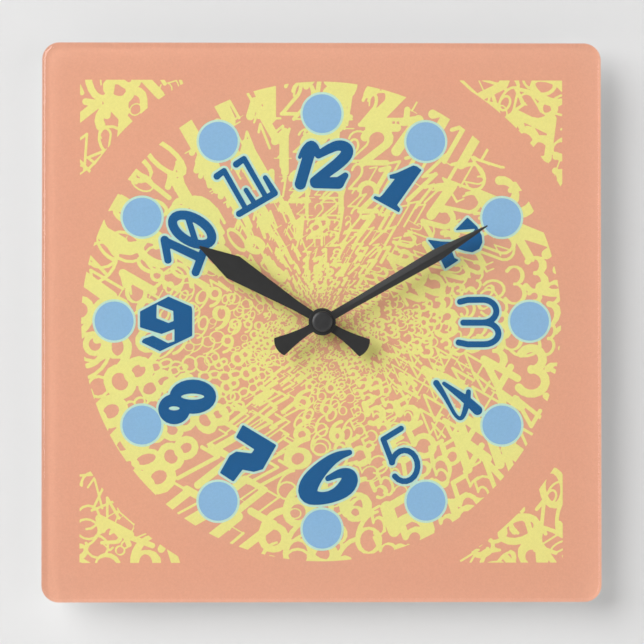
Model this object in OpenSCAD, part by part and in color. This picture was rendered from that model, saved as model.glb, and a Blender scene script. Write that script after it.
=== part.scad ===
// Square wall clock: a clear panel with its print behind it, two hands in front of it and a quartz
// movement on its back. Each module draws its piece lying down, with Z as the distance from the wall,
// and upright() stands it up: the wall is then the plane Y = 0 and the dial faces -Y.

/* [Dial panel] */
// Width and height of the square panel
panel_side = 273; // [200:1:400]
// Thickness of the clear panel
panel_thick = 4.8; // [3:0.1:8]
// Radius of the panel's corners, seen from the front
panel_corner = 8.5; // [4:0.5:20]
// Radius of the polished round along the front edge
panel_edge = 2.3; // [0.5:0.1:2.5]
// Thickness of the printed film behind the panel
film_thick = 0.2; // [0.1:0.05:0.5]
// How far the film's edge stays inside the panel's edge
film_margin = 0.5; // [0.2:0.1:3]
// Radius of the rubber washer behind the panel
rubber_r = 9; // [8:0.5:12]
// Thickness of the rubber washer
rubber_thick = 0.8; // [0.5:0.1:1.2]

/* [Hands] */
// Reach of the minute hand from the centre
minute_reach = 93; // [75:1:95]
// Greatest width of the minute hand
minute_width = 6.4; // [5:0.1:9]
// Reach of the hour hand from the centre
hour_reach = 70; // [60:1:74]
// Greatest width of the hour hand
hour_width = 12.3; // [8:0.1:16]
// Length of both tails from the centre
tail_reach = 25.8; // [20:0.1:30]
// Width of both tails at their flared end
tail_width = 9.8; // [7:0.1:12]
// Radius of the round boss at the root of each hand
boss_r = 6.65; // [5:0.05:8]
// Thickness of the sheet the hands are stamped from
hand_thick = 0.5; // [0.3:0.1:0.8]
// Clockwise angle of the minute hand from 12
minute_angle = 59.8; // [0:0.1:359]
// Clockwise angle of the hour hand from 12
hour_angle = 301.5; // [0:0.1:359]
// Radius of the centre cap
cap_r = 5; // [4:0.1:6]

/* [Movement case] */
// Width and height of the square case
case_side = 56; // [56:0.5:60]
// Depth of the case from the wall to the back of the panel's washer
case_depth = 16.5; // [16.5:0.1:18]
// Radius of the case's corners
case_corner = 3; // [1:0.5:4]
// Thickness of the case's side walls
wall = 1.4; // [1.4:0.1:1.6]
// Thickness of the case's front and rear plates
plate = 1.2; // [1:0.1:1.2]
// Distance from the wall to the seam between the two halves
seam = 12; // [11.5:0.5:12.5]

/* [Hanger] */
// Radius of the round part of the hanging eye
eye_r = 3.5; // [2.5:0.1:4]
// Height of the eye above the hand arbors
eye_height = 34.5; // [33:0.5:38]
// Thickness of the hanging tab
tab_thick = 2.4; // [1.6:0.1:3]
// Width of the slot that runs up from the eye
eye_slot = 3; // [2:0.1:3]
// How far the slot rises above the eye's round part
eye_slot_rise = 2.6; // [1:0.1:2.8]
// Radius of the tab's round top
tab_r = 8.5; // [8:0.1:10]

/* [Battery] */
// Radius of the AA cell
cell_r = 7.25; // [7:0.05:7.25]
// Length of the AA cell with its button
cell_length = 50.5; // [49.5:0.1:50.5]
// Clearance around the cell in its bay
cell_gap = 0.2; // [0.1:0.05:0.3]

/* [Bush and nut] */
// Outer radius of the threaded bush
bush_r = 4; // [3.8:0.1:4.2]
// Distance across the flats of the nut
nut_flats = 11; // [10:0.5:11.5]
// Thickness of the nut
nut_thick = 2.2; // [1.5:0.1:2.5]
// Outer radius of the brass washer
washer_r = 6.4; // [6.4:0.1:10]
// Radius of the bush's flange inside the case
bush_flange_r = 6; // [5:0.1:6.5]
/* [Gears] */
// Module of the rotor pinion and the wheel it drives
rotor_module = 0.25; // [0.24:0.01:0.26]
// Module of the intermediate pinion and the seconds wheel
seconds_module = 0.36; // [0.355:0.005:0.365]
// Module of the third pinion and the centre wheel
centre_module = 0.32; // [0.315:0.005:0.325]
// Module of the motion work's first pair
motion_module = 0.4; // [0.39:0.01:0.41]
// Share by which each tooth is thinner than its space
tooth_slack = 0.16; // [0.1:0.01:0.3]

/* [Hidden] */
$fn = 64;

// Clearance between a turning arbor and its bearing, and between a fixed piece and what it fits over
run = 0.06;
loose = 0.1;
// A cut passes this far through the face it opens
cut = 0.1;

// Distances from the wall, working outwards through the panel to the front of the cap
film_back = case_depth + rubber_thick;
panel_back = film_back + film_thick;
panel_front = panel_back + panel_thick;
washer_thick = 0.5;
nut_back = panel_front + washer_thick;
nut_front = nut_back + nut_thick;
bush_front = nut_front + 0.5;
hour_back = bush_front + 0.5;
hour_tube_front = hour_back + 1.1;
minute_back = hour_back + 2.4;
arbor_front = minute_back + 0.9;
cap_back = arbor_front + 0.2;
cap_front = cap_back + 1.8;
seconds_front = cap_front - 0.5;
hour_collet_r = 3.2;
minute_collet_r = 2.2;
collet_rim = 0.3;

// Inside of the case: the faces of its two end plates and of its side walls
front_inner = case_depth - plate;
inner = case_side / 2 - wall;
film_side = panel_side - 2 * film_margin;

// Battery bay: the cell lies along X below the train
bay_floor = -inner + loose;
cell_z = bay_floor + cell_gap + cell_r;
bay_roof = cell_z + cell_r + cell_gap;
bay_wall = 1;
cell_depth = front_inner - cell_gap - cell_r;
contact_thick = 0.4;
contact_gap = 0.05;
cell_right = inner - contact_thick - contact_gap;
cell_left = cell_right - cell_length;
button_length = 1.5;
button_r = 2.6;
sleeve_thick = 0.15;

// Tooth counts, which fix the ratios of the going train and of the motion work
rotor_teeth = 10;
intermediate_teeth = [60, 10];
seconds_teeth = [50, 8];
third_teeth = [64, 8];
centre_teeth = 60;
cannon_teeth = 12;
minute_teeth = [36, 10];
hour_teeth = 40;
knob_teeth = 12;
pressure = 20;

// Arbor positions, seen from the front, each worked out from the pitch radii that meet there
function polar(r, a) = [r * cos(a), r * sin(a)];
function pair_distance(m, a, b) = m * (a + b) / 2;
intermediate_angle = 30;
rotor_angle = 80;
third_angle = 150;
minute_wheel_angle = 110;
knob_angle = 82;
third_distance = pair_distance(centre_module, third_teeth[1], centre_teeth);
third_module = 2 * third_distance / (seconds_teeth[1] + third_teeth[0]);
motion_distance = pair_distance(motion_module, cannon_teeth, minute_teeth[0]);
hour_module = 2 * motion_distance / (minute_teeth[1] + hour_teeth);
seconds_distance = pair_distance(seconds_module, intermediate_teeth[1], seconds_teeth[0]);
rotor_distance = pair_distance(rotor_module, rotor_teeth, intermediate_teeth[0]);
intermediate_at = polar(seconds_distance, intermediate_angle);
rotor_at = intermediate_at + polar(rotor_distance, rotor_angle);
third_at = polar(third_distance, third_angle);
train_at = [intermediate_at, rotor_at, third_at];
minute_wheel_at = polar(motion_distance, minute_wheel_angle);
knob_at = minute_wheel_at + polar(pair_distance(motion_module, minute_teeth[0], knob_teeth), knob_angle);

// Turn of a gear at direction a from its neighbour, so that its teeth fall into the other's spaces
function meshed(a, teeth, turn, own_teeth) =
    a + 180 + 360 / own_teeth * (0.5 - (turn - a) * teeth / 360);
intermediate_turn = meshed(intermediate_angle, seconds_teeth[0], 0, intermediate_teeth[1]);
rotor_turn = meshed(rotor_angle, intermediate_teeth[0], 0, rotor_teeth);
third_wheel_turn = meshed(third_angle, seconds_teeth[1], 0, third_teeth[0]);
third_pinion_turn = meshed(third_angle, centre_teeth, 0, third_teeth[1]);
minute_wheel_turn = meshed(minute_wheel_angle, cannon_teeth, 0, minute_teeth[0]);
minute_pinion_turn = meshed(minute_wheel_angle, hour_teeth, 0, minute_teeth[1]);
knob_turn = meshed(knob_angle, minute_teeth[0], minute_wheel_turn, knob_teeth);

// Levels of the train, as distances from the wall
arbor_rear = plate + 0.2;
bearing_front = plate + 0.7;
intermediate_level = 2.3;
seconds_level = 3.6;
third_level = 5.1;
stator_level = 6.5;
flange_level = 6.9;
centre_level = 7.8;
middle_back = 9;
middle_thick = 1.2;
middle_front = middle_back + middle_thick;
middle_low = [-25, -10.3];
middle_high = [16, 25.2];
pivot_depth = 0.8;
motion_level = 10.7;
hour_level = 13.2;
wheel_thick = 0.8;
train_arbor_r = 0.4;
train_arbor_front = middle_back + 0.6;
pivot_boss_r = 1.3;
motion_pivot_r = 0.5;
seconds_arbor_r = 0.45;
tube_r = 1.5;
hour_tube_r = 2.45;
knob_shaft_r = 1.3;
knob_r = 5.3;
knob_back = 0.4;
knob_thick = 1.9;
well_r = 5.9;
well_depth = 2.6;

// Coil, stator and board
coil_at = [21.3, 6.6];
coil_level = 6;
coil_length = 24;
flange_r = 4.2;
winding_r = 3.85;
core_width = 3;
core_thick = 1;
stator_end = 13.8;
magnet_r = 2.8;
board_level = 11;
board_thick = 0.8;
board_low = [12, -10.2];
board_size = [13.9, 18];
board_posts = [[14, 6], [24, 6]];
board_post_r = 1;

// Posts that clamp the middle plate between the two halves of the case
posts = [[-22, -7], [-22, 22], [8, 22.5], [9.5, -8.6]];
post_r = 1.4;

// Snap tongues on the left and right sides of the case
tongue_heights = [15, -5];
tongue_width = 7;
tongue_depth = 6;
tongue_thick = 0.7;

// Stands a piece up: the lying piece's Y becomes Z and its Z points away from the wall
module upright() {
    rotate([90, 0, 0]) children();
}

module at(p, level = 0) {
    translate([p[0], p[1], level]) children();
}

module rounded_square(side, r) {
    square([side, side - 2 * r], center = true);
    square([side - 2 * r, side], center = true);
    for (x = [-1, 1], y = [-1, 1])
        translate([x, y] * (side / 2 - r)) circle(r);
}

module ring(outer, inner_r, h) {
    difference() {
        cylinder(r = outer, h = h);
        translate([0, 0, -cut]) cylinder(r = inner_r, h = h + 2 * cut);
    }
}

module bar(a, b, width) {
    d = b - a;
    translate(a) rotate(atan2(d[1], d[0])) translate([0, -width / 2]) square([norm(d), width]);
    translate(b) circle(width / 2);
}

// Involute gear with shortened teeth
function involute(a) = tan(a) * 180 / PI - a;
function half_tooth(teeth, pitch_r, r) =
    90 / teeth * (1 - tooth_slack) + involute(pressure)
    - involute(acos(min(1, pitch_r * cos(pressure) / r)));
function tooth_radii(teeth, m) = [m * (teeth / 2 - 1.15), m * teeth / 2, m * (teeth / 2 + 0.75)];
function tooth(teeth, m, a) = let (radii = tooth_radii(teeth, m)) concat(
    [for (i = [0:2]) polar(radii[i], a - half_tooth(teeth, radii[1], radii[i]))],
    [for (i = [2:-1:0]) polar(radii[i], a + half_tooth(teeth, radii[1], radii[i]))]
);

module gear(teeth, m, h, turn = 0) {
    outline = [for (k = [0:teeth - 1]) each tooth(teeth, m, turn + k * 360 / teeth)];
    linear_extrude(h) polygon(outline);
}

// Round windows that lighten a wheel's web
module web_windows(count, r, at_r) {
    for (k = [0:count - 1])
        rotate(k * 360 / count) translate([at_r, 0, -cut]) cylinder(r = r, h = wheel_thick + 2 * cut);
}

// ---- Dial ----

// Outline of the slab's rim from its corner's centre outwards, rounded at the front
function rim(r, round, h) = concat(
    [[0, 0], [r, 0]],
    [for (a = [0:18:90]) [r - round + round * cos(a), h - round + round * sin(a)]],
    [[0, h]]
);

module dial_panel() {
    span = panel_side / 2 - panel_corner;
    section = rim(panel_corner, panel_edge, panel_thick);
    color([0.92, 0.66, 0.54, 0.5]) upright() translate([0, 0, panel_back]) difference() {
        union() {
            linear_extrude(panel_thick) square(2 * span, center = true);
            for (a = [0:90:270]) rotate(a) {
                translate([span, 0]) rotate([90, 0, 0]) linear_extrude(2 * span, center = true)
                    polygon(section);
                translate([span, span]) rotate_extrude(angle = 90) polygon(section);
            }
        }
        translate([0, 0, -cut]) cylinder(r = bush_r + loose, h = panel_thick + 2 * cut);
    }
}

module dial_print() {
    color("darksalmon") upright() translate([0, 0, film_back]) linear_extrude(film_thick)
        difference() {
            rounded_square(film_side, panel_corner - film_margin);
            circle(bush_r + loose);
        }
}

module rubber_washer() {
    color("dimgray") upright() translate([0, 0, case_depth]) ring(rubber_r, bush_r + loose, rubber_thick);
}

module brass_washer() {
    color("goldenrod") upright() translate([0, 0, panel_front])
        ring(washer_r, bush_r + loose, washer_thick);
}

module hex_nut() {
    color("gold") upright() translate([0, 0, nut_back]) difference() {
        cylinder(r = nut_flats / 2 / cos(30), h = nut_thick, $fn = 6);
        translate([0, 0, -cut]) cylinder(r = bush_r, h = nut_thick + 2 * cut, $fn = 64);
    }
}

// ---- Hands ----

// Half the width of a tail at distance r: slim at the boss and flared to its end
function tail_half(r) =
    let (t = (r - boss_r + 0.6) / (tail_reach - boss_r - 1.6)) 2.05 + (tail_width / 2 - 2.05) * pow(t, 1.7);

module hand_outline(root_half, shoulder, half, reach, tip_half) {
    tail_end = tail_reach - 1.6;
    tail = [for (i = [0:6]) let (r = 5 + (tail_end - 5) * i / 6) [tail_half(max(r, boss_r)), -r]];
    side = [[root_half, 0], [half, shoulder], [tip_half, reach]];
    polygon(concat(
        side,
        [for (p = [side[2], side[1], side[0]]) [-p[0], p[1]]],
        [for (p = tail) [-p[0], p[1]]],
        [[-tail_width / 4, -tail_reach + 0.4], [0, -tail_reach], [tail_width / 4, -tail_reach + 0.4]],
        [for (i = [6:-1:0]) tail[i]]
    ));
    circle(boss_r);
}

// Bush riveted into a hand, with a rim behind the sheet
module collet(r, bore_r, h) {
    difference() {
        union() {
            cylinder(r = r, h = h);
            cylinder(r = r + 1, h = collet_rim);
        }
        translate([0, 0, -cut]) cylinder(r = bore_r, h = h + 2 * cut);
    }
}

module hour_hand() {
    color([0.23, 0.23, 0.24]) upright() translate([0, 0, hour_back]) rotate(-hour_angle)
        linear_extrude(hand_thick) difference() {
            hand_outline(1.6, hour_reach * 0.725, hour_width / 2, hour_reach, 0.5);
            circle(hour_collet_r);
        }
}

module hour_collet() {
    color("goldenrod") upright() translate([0, 0, hour_back - collet_rim])
        collet(hour_collet_r, hour_tube_r, 1.3);
}

module minute_hand() {
    color([0.23, 0.23, 0.24]) upright() translate([0, 0, minute_back]) rotate(-minute_angle)
        linear_extrude(hand_thick) difference() {
            hand_outline(1.85, minute_reach * 0.69, minute_width / 2, minute_reach, 0.3);
            circle(minute_collet_r);
        }
}

module minute_collet() {
    color("goldenrod") upright() translate([0, 0, minute_back - collet_rim])
        collet(minute_collet_r, tube_r, 1);
}

module centre_cap() {
    dome = [for (a = [0:18:90]) [cap_r - 0.7 + 0.7 * cos(a), cap_front - cap_back - 0.7 + 0.7 * sin(a)]];
    color([0.2, 0.2, 0.21]) upright() translate([0, 0, cap_back]) difference() {
        rotate_extrude() polygon(concat([[0, 0], [cap_r, 0]], dome, [[0, cap_front - cap_back]]));
        translate([0, 0, -cut]) cylinder(r = seconds_arbor_r, h = seconds_front - cap_back + cut);
    }
}

// ---- Case ----

module tongue(side, height, thick, width, depth) {
    x = side > 0 ? case_side / 2 - thick : -case_side / 2;
    translate([x, height - width / 2, seam - depth]) cube([thick, width, depth]);
}

module front_case() {
    color("dimgray") upright() difference() {
        union() {
            translate([0, 0, front_inner]) linear_extrude(plate) rounded_square(case_side, case_corner);
            translate([0, 0, seam]) linear_extrude(front_inner - seam) difference() {
                rounded_square(case_side, case_corner);
                square(2 * inner, center = true);
            }
            for (p = posts) at(p, middle_front) cylinder(r = post_r, h = front_inner - middle_front);
            for (p = board_posts) at(p, board_level + board_thick)
                cylinder(r = board_post_r, h = front_inner - board_level - board_thick);
            for (side = [-1, 1], height = tongue_heights)
                tongue(side, height, tongue_thick, tongue_width, tongue_depth);
        }
        translate([0, 0, front_inner - cut]) cylinder(r = bush_r, h = plate + 2 * cut);
        for (p = [minute_wheel_at, knob_at])
            at(p, front_inner - cut) cylinder(r = motion_pivot_r + run, h = pivot_depth + cut);
    }
}

module rear_case() {
    color("dimgray") upright() difference() {
        union() {
            linear_extrude(plate) rounded_square(case_side, case_corner);
            linear_extrude(seam) difference() {
                rounded_square(case_side, case_corner);
                square(2 * inner, center = true);
            }
            translate([-cell_right, bay_roof, 0]) cube([2 * cell_right, bay_wall, front_inner]);
            for (p = posts) at(p) cylinder(r = post_r, h = middle_back);
            for (p = concat([[0, 0]], train_at)) at(p) cylinder(r = pivot_boss_r, h = bearing_front);
            at(knob_at) cylinder(r = well_r + 1, h = well_depth + 1);
            hanger_tab();
        }
        at(knob_at, -cut) cylinder(r = well_r, h = well_depth + cut);
        at(knob_at, -cut) cylinder(r = knob_shaft_r + run, h = well_depth + 1 + 2 * cut);
        translate([-inner, bay_floor, -cut]) cube([2 * inner, bay_roof - bay_floor, plate + 2 * cut]);
        at([0, 0], plate) cylinder(r = seconds_arbor_r + run, h = plate);
        for (p = train_at) at(p, plate) cylinder(r = train_arbor_r + run, h = plate);
        at([0, eye_height], -cut) cylinder(r = eye_r, h = tab_thick + 2 * cut);
        translate([-eye_slot / 2, eye_height, -cut])
            cube([eye_slot, eye_r + eye_slot_rise, tab_thick + 2 * cut]);
        for (side = [-1, 1], height = tongue_heights)
            tongue(side, height, tongue_thick + loose, tongue_width + 2 * loose, tongue_depth + loose);
    }
}

// Tab that stands above the rear half of the case and carries the hanging eye
module hanger_tab() {
    linear_extrude(tab_thick) {
        translate([-tab_r, case_side / 2 - wall]) square([2 * tab_r, eye_height - case_side / 2 + wall]);
        translate([0, eye_height]) circle(tab_r);
    }
}

module middle_plate() {
    color("ivory") upright() difference() {
        at(middle_low, middle_back)
            cube([middle_high[0] - middle_low[0], middle_high[1] - middle_low[1], middle_thick]);
        at([0, 0], middle_back - cut) cylinder(r = tube_r + run, h = middle_thick + 2 * cut);
        at(knob_at, middle_back - cut) cylinder(r = knob_shaft_r + run, h = middle_thick + 2 * cut);
        for (p = train_at)
            at(p, middle_back - cut) cylinder(r = train_arbor_r + run, h = pivot_depth + cut);
        at(minute_wheel_at, middle_front - pivot_depth)
            cylinder(r = motion_pivot_r + run, h = pivot_depth + cut);
    }
}

module threaded_bush() {
    color("gold") upright() difference() {
        union() {
            translate([0, 0, front_inner - 0.6]) cylinder(r = bush_flange_r, h = 0.6);
            translate([0, 0, front_inner]) cylinder(r = bush_r, h = bush_front - front_inner);
        }
        translate([0, 0, front_inner - 1]) cylinder(r = hour_tube_r + run, h = bush_front);
    }
}

// ---- Going train ----

module rotor_magnet() {
    color("slategray") upright() at(rotor_at, stator_level - 0.5) ring(magnet_r, 1, 1.8);
}

module rotor_pinion() {
    color("white") upright() at(rotor_at) {
        translate([0, 0, arbor_rear]) cylinder(r = train_arbor_r, h = train_arbor_front - arbor_rear);
        translate([0, 0, intermediate_level - 0.2]) gear(rotor_teeth, rotor_module, 1.2, rotor_turn);
        translate([0, 0, intermediate_level + 1])
            cylinder(r = 1, h = middle_back - 0.4 - intermediate_level - 1);
    }
}

module intermediate_wheel() {
    color("white") upright() at(intermediate_at) {
        translate([0, 0, arbor_rear]) cylinder(r = train_arbor_r, h = train_arbor_front - arbor_rear);
        difference() {
            translate([0, 0, intermediate_level]) gear(intermediate_teeth[0], rotor_module, wheel_thick);
            translate([0, 0, intermediate_level]) web_windows(4, 1.8, 4.6);
        }
        translate([0, 0, intermediate_level + wheel_thick])
            gear(intermediate_teeth[1], seconds_module, 1.5, intermediate_turn);
        translate([0, 0, intermediate_level + wheel_thick + 1.5]) cylinder(r = 0.8, h = 4);
    }
}

module seconds_wheel() {
    color("white") upright() difference() {
        union() {
            difference() {
                translate([0, 0, seconds_level]) gear(seconds_teeth[0], seconds_module, wheel_thick);
                translate([0, 0, seconds_level]) web_windows(5, 2, 5.6);
            }
            translate([0, 0, seconds_level + wheel_thick]) gear(seconds_teeth[1], third_module, 2.1);
        }
        translate([0, 0, seconds_level - cut]) cylinder(r = seconds_arbor_r, h = 4);
    }
}

module seconds_arbor() {
    color("silver") upright() translate([0, 0, arbor_rear])
        cylinder(r = seconds_arbor_r, h = seconds_front - arbor_rear);
}

module third_wheel() {
    color("white") upright() at(third_at) {
        translate([0, 0, arbor_rear]) cylinder(r = train_arbor_r, h = train_arbor_front - arbor_rear);
        difference() {
            translate([0, 0, third_level])
                gear(third_teeth[0], third_module, wheel_thick, third_wheel_turn);
            translate([0, 0, third_level]) web_windows(5, 2, 5.8);
        }
        translate([0, 0, third_level + wheel_thick])
            gear(third_teeth[1], centre_module, 2.8, third_pinion_turn);
    }
}

module centre_wheel() {
    color("white") upright() difference() {
        translate([0, 0, centre_level]) gear(centre_teeth, centre_module, wheel_thick);
        translate([0, 0, centre_level]) web_windows(5, 2, 6);
        translate([0, 0, centre_level - cut]) cylinder(r = tube_r + run, h = wheel_thick + 2 * cut);
    }
}

// ---- Hand setting ----

// Slip clutch: a three-armed spring that presses the centre wheel against the arbor's shoulder
module clutch_spring() {
    color("silver") upright() translate([0, 0, flange_level + 0.35]) linear_extrude(0.4) difference() {
        union() {
            circle(2.4);
            for (a = [0:120:240]) bar([0, 0], polar(3.4, a), 1.4);
        }
        circle(tube_r);
    }
}

module minute_arbor() {
    color("white") upright() difference() {
        union() {
            translate([0, 0, flange_level]) cylinder(r = tube_r, h = arbor_front - flange_level);
            translate([0, 0, flange_level]) cylinder(r = 2.3, h = 0.35);
            translate([0, 0, centre_level + wheel_thick + 0.05]) cylinder(r = 2.3, h = 0.25);
            translate([0, 0, middle_front + 0.1]) gear(cannon_teeth, motion_module, 1.8);
        }
        translate([0, 0, flange_level - cut]) cylinder(r = seconds_arbor_r + run, h = arbor_front);
    }
}

module minute_wheel() {
    color("white") upright() at(minute_wheel_at) {
        translate([0, 0, middle_front - 0.6])
            cylinder(r = motion_pivot_r, h = front_inner + 1.2 - middle_front);
        translate([0, 0, motion_level])
            gear(minute_teeth[0], motion_module, wheel_thick, minute_wheel_turn);
        translate([0, 0, motion_level + wheel_thick])
            gear(minute_teeth[1], hour_module, 3.2, minute_pinion_turn);
    }
}

module hour_wheel() {
    color("white") upright() difference() {
        union() {
            translate([0, 0, hour_level]) gear(hour_teeth, hour_module, wheel_thick);
            translate([0, 0, hour_level - 0.6])
                cylinder(r = hour_tube_r, h = hour_tube_front - hour_level + 0.6);
        }
        translate([0, 0, hour_level - 1]) cylinder(r = tube_r + run, h = hour_tube_front);
    }
}

module setting_knob() {
    grips = 20;
    color("black") upright() at(knob_at) {
        translate([0, 0, knob_back]) linear_extrude(knob_thick) difference() {
            circle(knob_r);
            for (k = [0:grips - 1])
                rotate(k * 360 / grips) translate([knob_r + 0.2, 0]) circle(0.45, $fn = 16);
        }
        translate([0, 0, knob_back + knob_thick])
            cylinder(r = knob_shaft_r, h = motion_level - knob_back - knob_thick);
        translate([0, 0, motion_level]) gear(knob_teeth, motion_module, 1, knob_turn);
        translate([0, 0, motion_level + 1])
            cylinder(r = motion_pivot_r, h = front_inner + 0.6 - motion_level - 1);
    }
}

// ---- Motor and electronics ----

// Turns a coil piece so that its own axis runs along the coil
module along_coil() {
    translate([coil_at[0], coil_at[1], coil_level]) rotate([90, 0, 0]) children();
}

module coil_bobbin() {
    color("white") upright() along_coil() difference() {
        union() {
            cylinder(r = 2.2, h = coil_length, center = true);
            for (side = [-1, 1]) translate([0, 0, side * (coil_length - 0.8) / 2])
                cylinder(r = flange_r, h = 0.8, center = true);
        }
        cube([core_width, core_thick, coil_length + 1], center = true);
    }
}

module coil_winding() {
    color("chocolate") upright() along_coil() difference() {
        cylinder(r = winding_r, h = coil_length - 1.6, center = true);
        cylinder(r = 2.2, h = coil_length, center = true);
    }
}

module coil_core() {
    color("silver") upright() along_coil()
        cube([core_width, core_thick, 2 * stator_end + core_width], center = true);
}

module stator_plate() {
    top = coil_at + [0, stator_end];
    bottom = coil_at - [0, stator_end];
    elbow_x = 15.1;
    arm = 3;
    color("silver") upright() translate([0, 0, stator_level]) linear_extrude(0.8) difference() {
        union() {
            translate(rotor_at) circle(5.5);
            bar(rotor_at, [elbow_x, top[1]], arm);
            bar([elbow_x, top[1]], top, arm);
            bar(rotor_at, [elbow_x, 2], arm);
            bar([elbow_x, 2], [elbow_x, bottom[1]], arm);
            bar([elbow_x, bottom[1]], bottom, arm);
        }
        translate(rotor_at) circle(magnet_r + 0.5);
    }
}

module circuit_board() {
    color("darkgreen") upright() at(board_low, board_level)
        cube([board_size[0], board_size[1], board_thick]);
}

module chip_cover() {
    color("black") upright() at([17, 2], board_level + board_thick)
        rotate_extrude() polygon([[0, 0], [3, 0], [2.6, 0.7], [1.6, 1.1], [0, 1.2]]);
}

module quartz_crystal() {
    color("silver") upright() translate([15, -5.5, board_level + board_thick + 1.5]) rotate([0, 90, 0])
        cylinder(r = 1.5, h = 8);
}

// ---- Battery ----

module contact_positive() {
    x = inner - contact_thick;
    color("silver") upright() {
        translate([x, bay_floor + 2, 3]) cube([contact_thick, bay_roof - bay_floor + 3, 9]);
        translate([x - 2, bay_roof + 2, board_level + board_thick]) cube([2, 3, contact_thick]);
    }
}

module contact_negative() {
    strip = bay_roof + bay_wall + contact_gap;
    color("silver") upright() {
        translate([-inner, bay_floor + 2, 3]) cube([contact_thick, bay_roof - bay_floor + 2, 9.8]);
        translate([-inner, strip, board_level + 0.2]) cube([inner + 14, 0.3, 1.6]);
        translate([12.5, strip, board_level + board_thick]) cube([1.5, 2.5, contact_thick]);
        translate([-inner + contact_thick, cell_z, cell_depth]) rotate([0, 90, 0])
            ring(3, 2.2, cell_left + inner - contact_thick - contact_gap);
    }
}

// Draws a piece of the cell along the bay, from the cell's left end
module along_cell(from) {
    translate([cell_left + from, cell_z, cell_depth]) rotate([0, 90, 0]) children();
}

module cell_can() {
    color("silver") upright() along_cell(0)
        cylinder(r = cell_r - sleeve_thick, h = cell_length - button_length);
}

module cell_sleeve() {
    color("darkorange") upright() along_cell(0.4)
        ring(cell_r, cell_r - sleeve_thick, cell_length - button_length - 0.8);
}

module cell_button() {
    color("silver") upright() along_cell(cell_length - button_length)
        cylinder(r = button_r, h = button_length);
}

dial_panel();
dial_print();
rubber_washer();
brass_washer();
hex_nut();
hour_hand();
hour_collet();
minute_hand();
minute_collet();
centre_cap();
front_case();
rear_case();
middle_plate();
threaded_bush();
rotor_magnet();
rotor_pinion();
intermediate_wheel();
seconds_wheel();
seconds_arbor();
third_wheel();
centre_wheel();
clutch_spring();
minute_arbor();
minute_wheel();
hour_wheel();
setting_knob();
coil_bobbin();
coil_winding();
coil_core();
stator_plate();
circuit_board();
chip_cover();
quartz_crystal();
contact_positive();
contact_negative();
cell_can();
cell_sleeve();
cell_button();
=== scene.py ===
import math
import random
import bpy
import bmesh
import numpy as np
from mathutils import Matrix, Vector


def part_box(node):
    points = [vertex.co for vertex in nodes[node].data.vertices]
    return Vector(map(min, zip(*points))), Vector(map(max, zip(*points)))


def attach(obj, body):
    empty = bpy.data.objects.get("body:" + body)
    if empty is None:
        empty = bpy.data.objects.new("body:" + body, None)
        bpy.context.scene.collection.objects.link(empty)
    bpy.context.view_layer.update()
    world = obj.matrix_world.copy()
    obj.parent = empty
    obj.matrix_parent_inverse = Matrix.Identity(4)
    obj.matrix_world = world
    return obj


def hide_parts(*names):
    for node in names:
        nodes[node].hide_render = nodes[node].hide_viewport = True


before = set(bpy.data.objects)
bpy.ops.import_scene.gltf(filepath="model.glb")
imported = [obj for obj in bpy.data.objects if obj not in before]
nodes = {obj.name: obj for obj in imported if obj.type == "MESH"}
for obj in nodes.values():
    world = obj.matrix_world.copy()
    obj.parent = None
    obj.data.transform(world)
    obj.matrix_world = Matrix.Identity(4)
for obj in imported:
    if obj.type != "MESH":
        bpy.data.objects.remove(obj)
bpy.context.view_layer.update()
collection = bpy.context.scene.collection

# Camera: a long lens nearly square to the dial, a little to its left and below its
# middle, which is how a flat wall clock is shown in a catalogue.
dial_middle = Vector((0, -0.0223, 0))
camera_distance = 1.9
camera_left = math.radians(1.3)
camera_below = math.radians(1.3)
camera_data = bpy.data.cameras.new("camera")
camera_data.lens = 218
camera_data.sensor_width = 36
camera_data.clip_end = 20
camera = bpy.data.objects.new("camera", camera_data)
collection.objects.link(camera)
bpy.context.scene.camera = camera
camera_side = Vector((-math.sin(camera_left), -1, -math.sin(camera_below))).normalized()
camera.location = dial_middle + camera_side * camera_distance
camera.rotation_mode = "QUATERNION"
camera.rotation_quaternion = (-camera_side).to_track_quat("-Z", "Y")
bpy.context.scene.view_settings.view_transform = "Standard"

# Studio: a painted wall that the clock hangs on, a pale floor well below it, a large soft
# lamp at the upper left, a weak one at the right, one behind and even light all round.
world = bpy.data.worlds.new("studio")
bpy.context.scene.world = world
world.use_nodes = True
world.node_tree.nodes["Background"].inputs["Color"].default_value = (1, 1, 1, 1)
world.node_tree.nodes["Background"].inputs["Strength"].default_value = 0.28


def soft_lamp(name, place, aim, width, power):
    data = bpy.data.lights.new(name, "AREA")
    data.shape = "DISK"
    data.size = width
    data.energy = power
    lamp = bpy.data.objects.new(name, data)
    collection.objects.link(lamp)
    lamp.location = place
    lamp.rotation_mode = "QUATERNION"
    lamp.rotation_quaternion = (Vector(aim) - Vector(place)).to_track_quat("-Z", "Y")
    return lamp


soft_lamp("key_lamp", (-3.4, -3.2, 2.0), (0, 0, 0), 4.8, 250)
soft_lamp("fill_lamp", (3.0, -2.8, -0.5), (0, 0, 0), 3.0, 26)
soft_lamp("back_lamp", (1.6, 2.4, 1.6), (0, 0, 0), 2.0, 45)


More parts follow.
